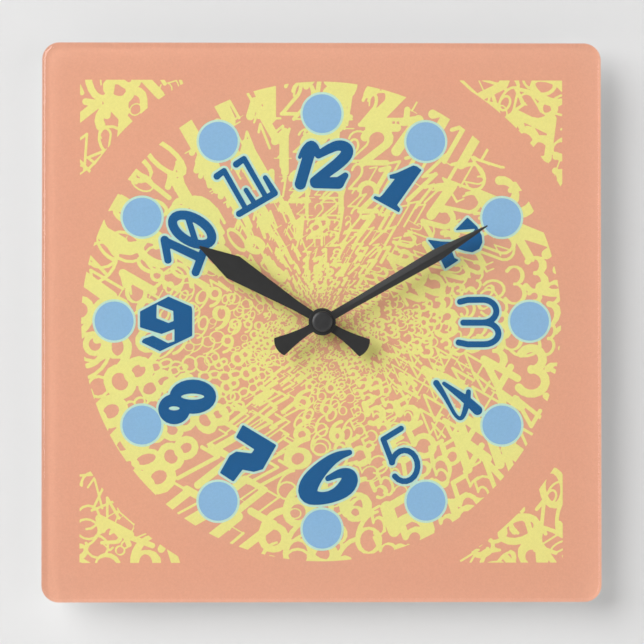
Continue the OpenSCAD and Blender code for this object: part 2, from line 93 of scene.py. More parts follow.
def paint(name, colour, roughness, patch_size, patch_depth):
    made = bpy.data.materials.new(name)
    made.use_nodes = True
    tree = made.node_tree
    shader = tree.nodes["Principled BSDF"]
    shader.inputs["Roughness"].default_value = roughness
    where = tree.nodes.new("ShaderNodeTexCoord")
    patches = tree.nodes.new("ShaderNodeTexNoise")
    patches.inputs["Scale"].default_value = 1 / patch_size
    patches.inputs["Detail"].default_value = 5
    tree.links.new(where.outputs["Object"], patches.inputs["Vector"])
    shades = tree.nodes.new("ShaderNodeValToRGB")
    shades.color_ramp.elements[0].position = 0.3
    shades.color_ramp.elements[1].position = 0.7
    shades.color_ramp.elements[0].color = [c * (1 - patch_depth) for c in colour] + [1]
    shades.color_ramp.elements[1].color = [*colour, 1]
    tree.links.new(patches.outputs["Fac"], shades.inputs["Fac"])
    tree.links.new(shades.outputs["Color"], shader.inputs["Base Color"])
    return made


def stage_sheet(name, width, turn, place, material):
    bm = bmesh.new()
    bmesh.ops.create_grid(bm, x_segments=1, y_segments=1, size=width / 2)
    bmesh.ops.transform(bm, matrix=Matrix.Translation(place) @ turn, verts=bm.verts)
    mesh = bpy.data.meshes.new(name)
    bm.to_mesh(mesh)
    bm.free()
    sheet = bpy.data.objects.new(name, mesh)
    collection.objects.link(sheet)
    mesh.materials.append(material)
    return sheet


wall_paint = paint("wall_paint", (0.765, 0.765, 0.767), 0.9, 0.4, 0.015)
# from behind the wall is clear, so that the clock's back can be seen
wall_tree = wall_paint.node_tree
wall_side = wall_tree.nodes.new("ShaderNodeNewGeometry")
wall_open = wall_tree.nodes.new("ShaderNodeBsdfTransparent")
wall_mix = wall_tree.nodes.new("ShaderNodeMixShader")
wall_tree.links.new(wall_side.outputs["Backfacing"], wall_mix.inputs["Fac"])
wall_tree.links.new(wall_tree.nodes["Principled BSDF"].outputs["BSDF"], wall_mix.inputs[1])
wall_tree.links.new(wall_open.outputs["BSDF"], wall_mix.inputs[2])
wall_tree.links.new(wall_mix.outputs["Shader"], wall_tree.nodes["Material Output"].inputs["Surface"])
wall_turn = Matrix.Rotation(math.radians(90), 4, "X")
wall = stage_sheet("wall", 5, wall_turn, (0, 0.0004, 0.9), wall_paint)
wall.visible_shadow = False
floor_paint = paint("floor_paint", (0.78, 0.77, 0.75), 0.7, 0.3, 0.03)
stage_sheet("floor", 9, Matrix.Identity(4), (0, 0, -1.5), floor_paint)

# Rear half of the movement's case: black ABS, injection moulded with a fine spark-eroded
# texture, with the battery bay and the hanging eye in it. Its edges are slightly rounded.


def finish(name, dark, light, patch_size, roughness, metal=0.0, stretch=(1, 1, 1)):
    """A surface whose colour wanders between dark and light, with its noise to build on."""
    made = bpy.data.materials.new(name)
    made.use_nodes = True
    tree = made.node_tree
    shader = tree.nodes["Principled BSDF"]
    shader.inputs["Metallic"].default_value = metal
    where = tree.nodes.new("ShaderNodeTexCoord")
    along = tree.nodes.new("ShaderNodeMapping")
    along.inputs["Scale"].default_value = stretch
    tree.links.new(where.outputs["Object"], along.inputs["Vector"])
    patches = tree.nodes.new("ShaderNodeTexNoise")
    patches.inputs["Scale"].default_value = 1 / patch_size
    patches.inputs["Detail"].default_value = 6
    patches.inputs["Roughness"].default_value = 0.6
    tree.links.new(along.outputs["Vector"], patches.inputs["Vector"])
    shades = tree.nodes.new("ShaderNodeValToRGB")
    shades.color_ramp.elements[0].position = 0.3
    shades.color_ramp.elements[1].position = 0.72
    shades.color_ramp.elements[0].color = [*dark, 1]
    shades.color_ramp.elements[1].color = [*light, 1]
    tree.links.new(patches.outputs["Fac"], shades.inputs["Fac"])
    tree.links.new(shades.outputs["Color"], shader.inputs["Base Color"])
    sheen = tree.nodes.new("ShaderNodeMapRange")
    sheen.inputs["To Min"].default_value = roughness[0]
    sheen.inputs["To Max"].default_value = roughness[1]
    tree.links.new(patches.outputs["Fac"], sheen.inputs["Value"])
    tree.links.new(sheen.outputs["Result"], shader.inputs["Roughness"])
    return made


def relief(material, grain_size, height, strength=0.5, stretch=(1, 1, 1)):
    """A fine grain that stands up from the surface by about height."""
    tree = material.node_tree
    where = tree.nodes.new("ShaderNodeTexCoord")
    along = tree.nodes.new("ShaderNodeMapping")
    along.inputs["Scale"].default_value = stretch
    tree.links.new(where.outputs["Object"], along.inputs["Vector"])
    grain = tree.nodes.new("ShaderNodeTexNoise")
    grain.inputs["Scale"].default_value = 1 / grain_size
    grain.inputs["Detail"].default_value = 3
    tree.links.new(along.outputs["Vector"], grain.inputs["Vector"])
    bump = tree.nodes.new("ShaderNodeBump")
    bump.inputs["Distance"].default_value = height
    bump.inputs["Strength"].default_value = strength
    tree.links.new(grain.outputs["Fac"], bump.inputs["Height"])
    tree.links.new(bump.outputs["Normal"], tree.nodes["Principled BSDF"].inputs["Normal"])
    return bump


def give(material, *names):
    for name in names:
        nodes[name].data.materials.clear()
        nodes[name].data.materials.append(material)


def ease_edges(name, width, angle=35):
    """The moulding's or pressing's slightly rounded edges, on the CAD piece."""
    weld = nodes[name].modifiers.new("weld", "WELD")
    weld.merge_threshold = 0.000002
    edge = nodes[name].modifiers.new("edge", "BEVEL")
    edge.width = width
    edge.segments = 2
    edge.limit_method = "ANGLE"
    edge.angle_limit = math.radians(angle)
    edge.harden_normals = False


case_black = finish("case_black", (0.012, 0.012, 0.013), (0.022, 0.022, 0.023), 0.006, (0.42, 0.55))
relief(case_black, 0.00022, 0.00003)
give(case_black, "rear_case")
ease_edges("rear_case", 0.00018)

# Stepping motor: a laminated silicon-steel stator with its coil core, and a coil of
# lacquered copper wire on a white bobbin. They are pressed over posts in the rear case.
stator_steel = finish("stator_steel", (0.36, 0.36, 0.37), (0.52, 0.52, 0.52), 0.004, (0.28, 0.45), 1.0)
relief(stator_steel, 0.00012, 0.00001, 0.4, (1, 1, 12))
give(stator_steel, "stator_plate", "coil_core")
bobbin_white = finish("bobbin_white", (0.66, 0.64, 0.58), (0.76, 0.74, 0.69), 0.003, (0.4, 0.5))
relief(bobbin_white, 0.0004, 0.00001)
give(bobbin_white, "coil_bobbin")
ease_edges("coil_bobbin", 0.0001)
coil_copper = finish("coil_copper", (0.42, 0.14, 0.05), (0.62, 0.25, 0.10), 0.0015, (0.22, 0.34), 0.9)
copper_tree = coil_copper.node_tree
turn_place = copper_tree.nodes.new("ShaderNodeTexCoord")
turns = copper_tree.nodes.new("ShaderNodeTexWave")
turns.bands_direction = "Z"
turns.inputs["Scale"].default_value = 1500
turns.inputs["Distortion"].default_value = 1.2
copper_tree.links.new(turn_place.outputs["Object"], turns.inputs["Vector"])
turn_bump = copper_tree.nodes.new("ShaderNodeBump")
turn_bump.inputs["Distance"].default_value = 0.00004
copper_tree.links.new(turns.outputs["Fac"], turn_bump.inputs["Height"])
copper_tree.links.new(turn_bump.outputs["Normal"], copper_tree.nodes["Principled BSDF"].inputs["Normal"])
give(coil_copper, "coil_winding")

# Electronics: a small board with a resin-covered chip and a tin-can crystal, and two
# bent contacts of nickel-plated spring steel that reach into the battery bay.
board_green = finish("board_green", (0.012, 0.07, 0.03), (0.02, 0.12, 0.05), 0.002, (0.3, 0.42))
board_tree = board_green.node_tree
track_place = board_tree.nodes.new("ShaderNodeTexCoord")
tracks = board_tree.nodes.new("ShaderNodeTexBrick")
tracks.inputs["Scale"].default_value = 260
tracks.inputs["Mortar Size"].default_value = 0.06
tracks.inputs["Color1"].default_value = (0.012, 0.08, 0.035, 1)
tracks.inputs["Color2"].default_value = (0.015, 0.10, 0.045, 1)
tracks.inputs["Mortar"].default_value = (0.05, 0.20, 0.07, 1)
board_face = board_tree.nodes.new("ShaderNodeMapping")
board_face.inputs["Rotation"].default_value = (math.radians(90), 0, 0)
board_tree.links.new(track_place.outputs["Object"], board_face.inputs["Vector"])
board_tree.links.new(board_face.outputs["Vector"], tracks.inputs["Vector"])
board_tree.links.new(tracks.outputs["Color"], board_tree.nodes["Principled BSDF"].inputs["Base Color"])
give(board_green, "circuit_board")
chip_black = finish("chip_black", (0.01, 0.01, 0.01), (0.02, 0.02, 0.022), 0.001, (0.12, 0.22))
relief(chip_black, 0.0015, 0.0001)
give(chip_black, "chip_cover")
ease_edges("chip_cover", 0.0003)
crystal_tin = finish("crystal_tin", (0.55, 0.55, 0.53), (0.72, 0.72, 0.70), 0.002, (0.2, 0.35), 1.0)
relief(crystal_tin, 0.0002, 0.00001, 0.4, (8, 8, 1))
give(crystal_tin, "quartz_crystal")
ease_edges("quartz_crystal", 0.0003)
contact_nickel = finish("contact_nickel", (0.50, 0.48, 0.43), (0.68, 0.66, 0.60), 0.003, (0.2, 0.38), 1.0)
relief(contact_nickel, 0.00015, 0.00001, 0.4, (1, 1, 10))
give(contact_nickel, "contact_positive", "contact_negative")
ease_edges("contact_positive", 0.00008)
ease_edges("contact_negative", 0.00008)

# Rotor and going train: a sintered magnet on a moulded pinion, and wheels and plates of
# natural acetal, which is milky and waxy. Seconds arbor and clutch spring are steel.
magnet_grey = finish("magnet_grey", (0.05, 0.05, 0.055), (0.11, 0.11, 0.115), 0.0006, (0.45, 0.7), 0.3)
relief(magnet_grey, 0.0001, 0.00002)
give(magnet_grey, "rotor_magnet")
acetal = finish("acetal", (0.70, 0.69, 0.65), (0.80, 0.79, 0.75), 0.002, (0.28, 0.4))
acetal.node_tree.nodes["Principled BSDF"].inputs["Subsurface Weight"].default_value = 0.15
acetal.node_tree.nodes["Principled BSDF"].inputs["Subsurface Scale"].default_value = 0.001
relief(acetal, 0.0005, 0.00001)
wheels = ["rotor_pinion", "intermediate_wheel", "seconds_wheel", "third_wheel", "centre_wheel"]
give(acetal, *wheels, "minute_wheel", "hour_wheel", "middle_plate")
arbor_steel = finish("arbor_steel", (0.50, 0.50, 0.51), (0.66, 0.66, 0.67), 0.001, (0.15, 0.28), 1.0)
relief(arbor_steel, 0.00008, 0.00001, 0.4, (1, 14, 1))
give(arbor_steel, "seconds_arbor", "clutch_spring", "minute_arbor")

# Front half of the case, snapped over the rear half, with its brass bush moulded in.
# The bush is turned and has the thread for the nut that clamps the dial.
give(case_black, "front_case")
ease_edges("front_case", 0.00018)
turned_brass = finish("turned_brass", (0.52, 0.36, 0.13), (0.76, 0.56, 0.25), 0.002, (0.18, 0.34), 1.0)
relief(turned_brass, 0.00012, 0.00001, 0.5, (1, 16, 1))
give(turned_brass, "threaded_bush")

# Setting knob on the back: black moulded plastic like the case, but polished in the
# mould, with grips round its rim.
knob_black = finish("knob_black", (0.014, 0.014, 0.015), (0.024, 0.024, 0.025), 0.003, (0.25, 0.36))
relief(knob_black, 0.0006, 0.00001)
give(knob_black, "setting_knob")
ease_edges("setting_knob", 0.00012)

# The AA cell: a nickel-plated steel can in a shrunk printed sleeve, dark along its body
# with a copper-coloured band at the button end.
cell_nickel = finish("cell_nickel", (0.58, 0.57, 0.55), (0.72, 0.71, 0.69), 0.004, (0.18, 0.3), 1.0)
relief(cell_nickel, 0.0002, 0.00001, 0.4, (12, 1, 1))
give(cell_nickel, "cell_can", "cell_button")
sleeve_low, sleeve_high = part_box("cell_sleeve")
band_edge = sleeve_low.x + 0.68 * (sleeve_high.x - sleeve_low.x)
sleeve_print = finish("sleeve_print", (0.02, 0.021, 0.023), (0.028, 0.029, 0.031), 0.004, (0.22, 0.3))
sleeve_tree = sleeve_print.node_tree
sleeve_place = sleeve_tree.nodes.new("ShaderNodeTexCoord")
sleeve_axes = sleeve_tree.nodes.new("ShaderNodeSeparateXYZ")
sleeve_tree.links.new(sleeve_place.outputs["Object"], sleeve_axes.inputs["Vector"])
sleeve_band = sleeve_tree.nodes.new("ShaderNodeMapRange")
sleeve_band.inputs["From Min"].default_value = band_edge - 0.00005
sleeve_band.inputs["From Max"].default_value = band_edge + 0.00005
sleeve_tree.links.new(sleeve_axes.outputs["X"], sleeve_band.inputs["Value"])
sleeve_mix = sleeve_tree.nodes.new("ShaderNodeMix")
sleeve_mix.data_type = "RGBA"
sleeve_mix.inputs["B"].default_value = (0.52, 0.22, 0.09, 1)
sleeve_shader = sleeve_tree.nodes["Principled BSDF"]
sleeve_dark = sleeve_shader.inputs["Base Color"].links[0].from_socket
sleeve_tree.links.new(sleeve_band.outputs["Result"], sleeve_mix.inputs["Factor"])
sleeve_tree.links.new(sleeve_dark, sleeve_mix.inputs["A"])
sleeve_tree.links.new(sleeve_mix.outputs["Result"], sleeve_shader.inputs["Base Color"])
relief(sleeve_print, 0.0012, 0.00002)
give(sleeve_print, "cell_sleeve")
ease_edges("cell_sleeve", 0.0001)

# Dial film: white vinyl laminated behind the clear panel. Seen from the back it is plain,
# slightly uneven satin white.
film_white = finish("film_white", (0.74, 0.74, 0.73), (0.77, 0.77, 0.76), 0.03, (0.42, 0.55))
relief(film_white, 0.0011, 0.00002)
give(film_white, "dial_print")

# The print: ink layers on the film's face, seen through the panel. Each is a flat sheet
# whose outline is found from the distance to the nearest pen stroke, in millimetres.
INK_STEP = 0.3
ticks = np.arange(-136.5, 136.51, INK_STEP)
across, up = np.meshgrid(ticks, ticks, indexing="ij")
from_axis = np.hypot(across, up)


def nothing_printed():
    return np.full(across.shape, 12.0)


def patch(points, margin):
    """The part of the grid round these points."""
    low = [int((min(p[k] for p in points) - margin + 136.5) / INK_STEP) for k in (0, 1)]
    high = [int((max(p[k] for p in points) + margin + 136.5) / INK_STEP) + 2 for k in (0, 1)]
    return tuple(slice(max(a, 0), max(b, 0)) for a, b in zip(low, high))


def pen(field, points, halves):
    """Draws a stroke through the points, with a half width at each."""
    for a, b, wide_a, wide_b in zip(points, points[1:], halves, halves[1:]):
        part = patch((a, b), max(wide_a, wide_b) + 1.8)
        x = across[part] - a[0]
        y = up[part] - a[1]
        run = (b[0] - a[0], b[1] - a[1])
        share = (x * run[0] + y * run[1]) / (run[0] ** 2 + run[1] ** 2 + 1e-9)
        share = np.clip(share, 0, 1)
        gap = np.hypot(x - share * run[0], y - share * run[1])
        gap -= wide_a + (wide_b - wide_a) * share
        field[part] = np.minimum(field[part], gap)


def cut_out(corners, part):
    """Distance to a closed outline, below zero inside it."""
    x = across[part]
    y = up[part]
    gap = np.full(x.shape, 99.0)
    inside = np.zeros(x.shape, bool)
    for a, b in zip(corners, corners[1:] + corners[:1]):
        run = (b[0] - a[0], b[1] - a[1])
        share = ((x - a[0]) * run[0] + (y - a[1]) * run[1]) / (run[0] ** 2 + run[1] ** 2)
        share = np.clip(share, 0, 1)
        gap = np.minimum(gap, np.hypot(x - a[0] - share * run[0], y - a[1] - share * run[1]))
        if a[1] != b[1]:
            crosses = (a[1] > y) != (b[1] > y)
            inside ^= crosses & (x < a[0] + (y - a[1]) * run[0] / run[1])
    return np.where(inside, -gap, gap)


def solid(field, corners, holes=(), easing=0.35):
    """Fills an outline with eased corners, less its holes."""
    part = patch(corners, 2.5)
    gap = cut_out(corners, part) - easing
    for hole in holes:
        gap = np.maximum(gap, -cut_out(hole, part) - easing)
    field[part] = np.minimum(field[part], gap)


def outlines(field, level):
    """Closed outlines where the distance equals level, with ink on their left."""
    depth = field - level
    inked = depth < 0
    count = inked[:-1, :-1].astype(int) + inked[1:, :-1] + inked[:-1, 1:] + inked[1:, 1:]
    places = {}
    onward = {}
    for i, j in np.argwhere(count % 4 != 0).tolist():
        corner = (inked[i, j], inked[i + 1, j], inked[i + 1, j + 1], inked[i, j + 1])
        sides = ((i, j, i + 1, j), (i + 1, j, i + 1, j + 1), (i, j + 1, i + 1, j + 1), (i, j, i, j + 1))
        leaving = [k for k in range(4) if corner[k] and not corner[(k + 1) % 4]]
        entering = [k for k in range(4) if not corner[k] and corner[(k + 1) % 4]]
        if len(leaving) == 2 and (entering[0] - leaving[0]) % 4 != 1:
            entering.reverse()
        for k, m in zip(leaving, entering):
            onward[sides[k]] = sides[m]
            for side in (sides[k], sides[m]):
                if side not in places:
                    a, b, c, d = side
                    share = depth[a, b] / (depth[a, b] - depth[c, d])
                    x = ticks[a] + (ticks[c] - ticks[a]) * share
                    places[side] = (x, ticks[b] + (ticks[d] - ticks[b]) * share)
    found = []
    while onward:
        first, side = onward.popitem()
        loop = [places[first]]
        while side != first:
            loop.append(places[side])
            side = onward.pop(side)
        found.append(loop)
    return found


def fewer(loop, slack=0.03):
    """The outline with only the points that its shape needs."""
    kept = [0]
    start = 0
    while start < len(loop):
        end = start + 2
        while end <= len(loop) and end - start < 40:
            a = loop[start]
            b = loop[end % len(loop)]
            length = max(math.dist(a, b), 1e-6)
            between = loop[start + 1:end]
            worst = max(abs((b[0] - a[0]) * (a[1] - p[1]) - (a[0] - p[0]) * (b[1] - a[1])) for p in between)
            if worst / length > slack:
                break
            end += 1
        start = end - 1
        if start < len(loop):
            kept.append(start)
    return [loop[k] for k in kept]


def print_ink(name, field, level, depth, material, shift=(0, 0)):
    """A flat sheet of ink, depth metres in front of the wall, shift millimetres off the middle."""
    bm = bmesh.new()
    for loop in outlines(field, level):
        loop = fewer(loop) if len(loop) > 9 else []
        if len(loop) > 3:
            spots = [((x + shift[0]) / 1000, -depth, (z + shift[1]) / 1000) for x, z in loop]
            ring = [bm.verts.new(spot) for spot in spots]
            for a, b in zip(ring, ring[1:] + ring[:1]):
                bm.edges.new((a, b))
    bmesh.ops.triangle_fill(bm, use_beauty=True, edges=bm.edges[:], normal=(0, -1, 0))
    for face in bm.faces:
        if face.normal.y > 0:
            face.normal_flip()
    mesh = bpy.data.meshes.new(name)
    bm.to_mesh(mesh)
    bm.free()
    sheet = bpy.data.objects.new(name, mesh)
    collection.objects.link(sheet)
    mesh.materials.append(material)
    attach(sheet, "clock")
    return sheet


def ink(name, colour, spread=0.04):
    """Screened ink: the colour with a fine dot grain and faint banding from the press."""
    made = finish(name, [c * (1 - spread) for c in colour], [min(1, c * (1 + spread)) for c in colour],
                  0.0009, (0.32, 0.42))
    made.node_tree.nodes["Principled BSDF"].inputs["Specular IOR Level"].default_value = 0
    return made


ground_coral = ink("ground_coral", (0.630, 0.325, 0.223))
ground = np.maximum(abs(across), abs(up)) - 135.9
square_corner = np.hypot(abs(across) - 127.9, abs(up) - 127.9) - 8.0
ground = np.where((abs(across) > 127.9) & (abs(up) > 127.9), square_corner, ground)
ground = np.maximum(ground, 4.3 - from_axis)
print_ink("print_ground", ground, 0, 0.01752, ground_coral)

# Yellow number collage: every hour's own number, in many pens and sizes, fills its
# sector of the round field, upright or turned like the numeral. The corners are mixed.


def bow(middle_x, middle_y, wide, high, begin, end, count):
    """Points along an arc."""
    angles = [math.radians(begin + (end - begin) * k / count) for k in range(count + 1)]
    return [(middle_x + wide * math.cos(a), middle_y + high * math.sin(a)) for a in angles]


DIGITS = {
    "0": [bow(0.3, 0.5, 0.3, 0.5, 90, 450, 16)],
    "1": [[(0.05, 0.76), (0.3, 1)], [(0.3, 1), (0.3, 0)]],
    "2": [bow(0.3, 0.7, 0.3, 0.3, 170, -35, 9) + [(0.02, 0)], [(0, 0), (0.6, 0)]],
    "3": [bow(0.28, 0.76, 0.25, 0.24, 150, -90, 9), bow(0.28, 0.27, 0.31, 0.27, 90, -150, 10)],
    "4": [[(0.45, 1), (0, 0.3)], [(0, 0.3), (0.62, 0.3)], [(0.45, 1), (0.45, 0)]],
    "5": [[(0.55, 1), (0.1, 1)], [(0.1, 1), (0.06, 0.56)], bow(0.28, 0.32, 0.31, 0.32, 140, -150, 11)],
    "6": [bow(0.3, 0.3, 0.3, 0.3, 90, 450, 14), bow(0.62, 0.3, 0.62, 0.7, 180, 98, 6)],
    "7": [[(0, 1), (0.6, 1)], [(0.6, 1), (0.2, 0)]],
    "8": [bow(0.3, 0.74, 0.23, 0.26, 90, 450, 12), bow(0.3, 0.27, 0.3, 0.27, 90, 450, 14)],
    "9": [bow(0.3, 0.7, 0.3, 0.3, 90, 450, 14), bow(-0.02, 0.7, 0.62, 0.7, 0, -82, 6)],
}
SERIFS = {
    "1": [[(0.08, 0), (0.52, 0)]],
    "2": [[(0.6, 0), (0.62, 0.2)], [(0.02, 0.62), (0.04, 0.84)]],
    "4": [[(0.25, 0), (0.65, 0)], [(0.62, 0.2), (0.62, 0.4)]],
    "5": [[(0.56, 1), (0.6, 1.1)]],
    "7": [[(0.05, 0), (0.38, 0)], [(0, 1), (0, 0.84)]],
}
# the artwork sits a little off the panel's middle, as print often does
OFF_MIDDLE = (-0.2, 0.5)
TURNS = (0, 30, 60, 0, -60, -30, 0, 30, 60, 0, -60, -30)
# thickness, width, slant, pen angle, thick-to-thin contrast, serifs
PENS = (
    (0.24, 1.0, 0.00, 0.0, 0.70, True),
    (0.07, 1.1, 0.00, 0.0, 0.00, False),
    (0.19, 1.0, 0.00, 0.0, 0.10, False),
    (0.15, 0.8, 0.30, 0.5, 0.60, False),
    (0.12, 0.9, 0.00, 0.0, 0.60, True),
    (0.10, 0.7, 0.15, 0.3, 0.00, False),
    (0.27, 1.2, 0.10, 0.0, 0.40, False),
    (0.08, 1.2, 0.00, 0.0, 0.20, True),
)


def number(field, text, place, height, turn, style):
    """Pens a number, centred on place and turned clockwise by turn degrees."""
    thickness, width, slant, nib, contrast, serifs = style
    angle = -math.radians(turn)
    step = 0.76 + thickness
    reach = (len(text) - 1) * step + 0.6
    for k, digit in enumerate(text):
        strokes = DIGITS[digit] + (SERIFS.get(digit, []) if serifs else [])
        for n, stroke in enumerate(strokes):
            flat = [((x + k * step - reach / 2) * width + slant * (y - 0.5), y - 0.5) for x, y in stroke]
            thin = 0.5 if n >= len(DIGITS[digit]) else 1
            halves = []
            for m in range(len(flat)):
                a = flat[max(m - 1, 0)]
                b = flat[min(m + 1, len(flat) - 1)]
                heading = math.atan2(b[1] - a[1], b[0] - a[0])
                share = 1 - contrast + contrast * abs(math.sin(heading - nib))
                halves.append(height * thickness / 2 * share * thin)
            points = []
            for x, y in flat:
                right = x * math.cos(angle) - y * math.sin(angle)
                rise = x * math.sin(angle) + y * math.cos(angle)
                points.append((place[0] + height * right, place[1] + height * rise))
            pen(field, points, halves)


random.seed(12)
collage = nothing_printed()
TRIES = 9000
CORNER_TRIES = 1500
FIELD_RADIUS = 117.1
CORNERS_BEGIN = 134.2
for attempt in range(TRIES):
    radius = 119 * random.random() ** 0.75
    bearing = random.uniform(0, 360)
    # large numbers first, then ever smaller ones in what is left; all shrink to the middle
    share = 0.22 - 0.125 * (attempt / TRIES) ** 0.6
    height = max(2.0, share * radius * random.uniform(0.85, 1.1))
    place = (radius * math.sin(math.radians(bearing)), radius * math.cos(math.radians(bearing)))
    hour = round(bearing / 30) % 12
    # the clear space a number needs, as a share of its height
    room = (0.25 if hour in (10, 11, 0) else 0.20) * (0.1 + radius / 95)
    if float(collage[patch([place], 0)].min()) > room * height:
        style = random.choice(PENS)
        # near the middle only a bold pen still reads
        thickness = style[0] * (1 if radius > 30 else 1.5)
        number(collage, str(hour or 12), place, height, TURNS[hour], (thickness, *style[1:]))
for attempt in range(CORNER_TRIES):
    side = (random.choice((-1, 1)), random.choice((-1, 1)))
    place = tuple(s * random.uniform(70, 120) for s in side)
    height = 20 - 12 * (attempt / CORNER_TRIES) ** 0.5
    if math.hypot(*place) > 131 and float(collage[patch([place], 0)].min()) > 0.2 * height:
        text = str(random.randint(1, 12))
        number(collage, text, place, height, random.uniform(-75, 75), random.choice(PENS))
round_field = np.maximum(from_axis - FIELD_RADIUS, 6.2 - from_axis)
corner_field = np.maximum(CORNERS_BEGIN - from_axis, np.maximum(abs(across), abs(up)) - 117.8)
collage = np.maximum(collage, np.minimum(round_field, corner_field))
collage_yellow = ink("collage_yellow", (0.672, 0.662, 0.230))
print_ink("print_numbers", collage, 0, 0.01755, collage_yellow, OFF_MIDDLE)

# Twelve light-blue dots and the hour numerals, each hour's cut in a letter style of its
# own. Both have the same thin aqua outline, printed under them.
DOTS_RIGHT = 0.3
DOT_RING = 101.4
DOT_RADIUS = 9.5
OUTLINE = 1.1
NUMERAL_RING = 75.5
dots = nothing_printed()
for hour in range(12):
    turn = math.radians(hour * 30)
    centre = (DOT_RING * math.sin(turn) + DOTS_RIGHT, DOT_RING * math.cos(turn))
    part = patch([centre], DOT_RADIUS + 3)
    gap = np.hypot(across[part] - centre[0], up[part] - centre[1]) - DOT_RADIUS
    dots[part] = np.minimum(dots[part], gap)


def moved(points, hour, nudge):
    """Points given from a numeral's own middle, set in its place on the dial."""
    turn = math.radians(hour * 30)
    x = NUMERAL_RING * math.sin(turn) + nudge[0]
    y = NUMERAL_RING * math.cos(turn) + nudge[1]
    return [(x + a, y + b) for a, b in points]


numerals = nothing_printed()


def brush(points, halves):
    """A numeral's stroke, with its bends rounded by cutting their corners twice."""
    spots = [(x, y, h) for (x, y), h in zip(points, halves)]
    for cut in range(2):
        eased = [spots[0]]
        for a, b in zip(spots, spots[1:]):
            eased.append(tuple(0.75 * m + 0.25 * n for m, n in zip(a, b)))
            eased.append(tuple(0.25 * m + 0.75 * n for m, n in zip(a, b)))
        spots = eased + [spots[-1]]
    pen(numerals, [(x, y) for x, y, h in spots], [h for x, y, h in spots])


# 1: bold italic with a flag and a slab foot
one = [(7.2, 11.0), (8.8, 10.6), (10.8, 9), (-1.2, -8), (0.5, -10), (0, -11.2), (-12, -4.6),
       (-11.6, -3.9), (-9.2, -4.6), (-7.8, -3.4), (-1.2, 5.0), (-4, 5.2), (-4.2, 6.4), (-0.6, 7.4)]
solid(numerals, moved(one, 1, (0, -0.6)))
# 2: fat face with wedge ends
two = [(-0.6, 5.2), (4.8, 10.8), (9.2, 6.6), (11.5, 2.4), (11.8, -1), (10.4, -4), (7.2, -5.6),
       (3.5, -5), (0, -3.8), (-2.8, -3.4), (-3, -5.6), (-1.8, -8.8), (0, -9.7), (-6, -13.6),
       (-10, -5.5), (-14.2, 0), (-7.6, -0.9), (-3.4, -1), (2, -1.6), (6.5, 1.5), (9, 5.9)]
solid(numerals, moved(two, 2, (1.2, 1.8)), (), 0.3)
# 3: light and wide
top_bow = [(-8.8, 10.4), (-5, 11.3)] + bow(2.5, 5.8, 6.5, 5.6, 90, -90, 12) + [(-7.2, 0.2)]
low_bow = bow(3, -5.1, 7, 5.3, 90, -90, 12) + [(-5, -10.4), (-9.5, -9.5)]
pen(numerals, moved(top_bow, 3, (1.0, -0.9)), [1.5] * len(top_bow))
pen(numerals, moved(low_bow, 3, (1.0, -0.9)), [1.5] * len(low_bow))
# 4: a brush script
four = [(-10.7, 8), (-7.6, 3.5), (-4.5, -2.1), (-1.4, -8), (1.4, -9.8), (3.3, -6), (4.5, -0.7), (5, 3.8)]
brush(moved(four, 4, (1.4, -0.5)), [1.6, 1.3, 0.95, 0.9, 0.95, 1.35, 1.5, 1.2])
bar = [(-6.9, 7.8), (-1.4, 3.8), (4.2, -0.3), (9.4, -5.2)]
brush(moved(bar, 4, (1.4, -0.5)), [1.0, 1.5, 2.1, 2.4])
# 5: light and geometric
five = [(-0.7, 13.3), (-9.4, 8), (-5, -3.3)]
pen(numerals, moved(five, 5, (1.8, -0.3)), [1.4] * 3)
bowl = bow(1, -4.9, 6.4, 7.6, 168, -138, 16)
pen(numerals, moved(bowl, 5, (1.8, -0.3)), [1.4] * len(bowl))
# 6: heavy italic brush
six = [(11.4, 12.1), (4.9, 10.2), (-2.4, 4.4), (-8.4, -3), (-9.2, -8.6), (-3.6, -10.6), (4.2, -9.2),
       (10.6, -4.5), (12.2, 0.6), (7.8, 2.6), (1, -0.5)]
brush(moved(six, 6, (2.2, -0.7)), [1.4, 2.4, 3.6, 4.7, 4.6, 3.0, 3.0, 4.3, 3.8, 2.2, 1.4])
# 7: blocky with a kinked stem
seven = [(-1.7, 12.3), (13.6, 3.1), (7.4, -7.9), (3.5, -9), (-2.3, -7.9), (-6.6, -13.6), (-12.2, -10),
         (-7.8, -2.3), (-4.9, -0.5), (2.6, -1.4), (4.7, 1.4), (-4.4, 7.3)]
solid(numerals, moved(seven, 7, (1.3, 1.6)), (), 0.7)
# 8: a big and a small ring with narrow eyes
big_ring = bow(1.5, 2.6, 10.7, 7.7, 0, 345, 23)
big_eye = bow(1.4, 2.6, 6.4, 2.2, 0, 345, 23)
small_ring = bow(-7.6, -3.5, 7.1, 6.7, 0, 345, 23)
small_eye = bow(-7.6, -3.1, 3.4, 1.7, 0, 345, 23)
eyes = (moved(big_eye, 8, (1.2, -1.7)), moved(small_eye, 8, (1.2, -1.7)))
solid(numerals, moved(big_ring, 8, (1.2, -1.7)), eyes, 0.7)
solid(numerals, moved(small_ring, 8, (1.2, -1.7)), eyes, 0.7)
# 9: black, cut on straight lines
nine = [(1, 11.7), (11.8, 7), (12.1, 5.5), (12.1, -6.6), (-3.1, -13.9), (-11.5, -9.8), (-10.9, -8.8),
        (-6.6, -7.3), (0.7, -11), (4.4, -10), (4.4, -2.9), (-2.4, -5.5), (-12.4, -2.4), (-12.4, 4.7)]
nine_eye = [(-5.2, 9), (3.8, 5.5), (4, 0), (1, -1.2), (-5.4, 1.4)]
solid(numerals, moved(nine, 9, (-0.1, -0.3)), (moved(nine_eye, 9, (-0.1, -0.3)),), 0.5)
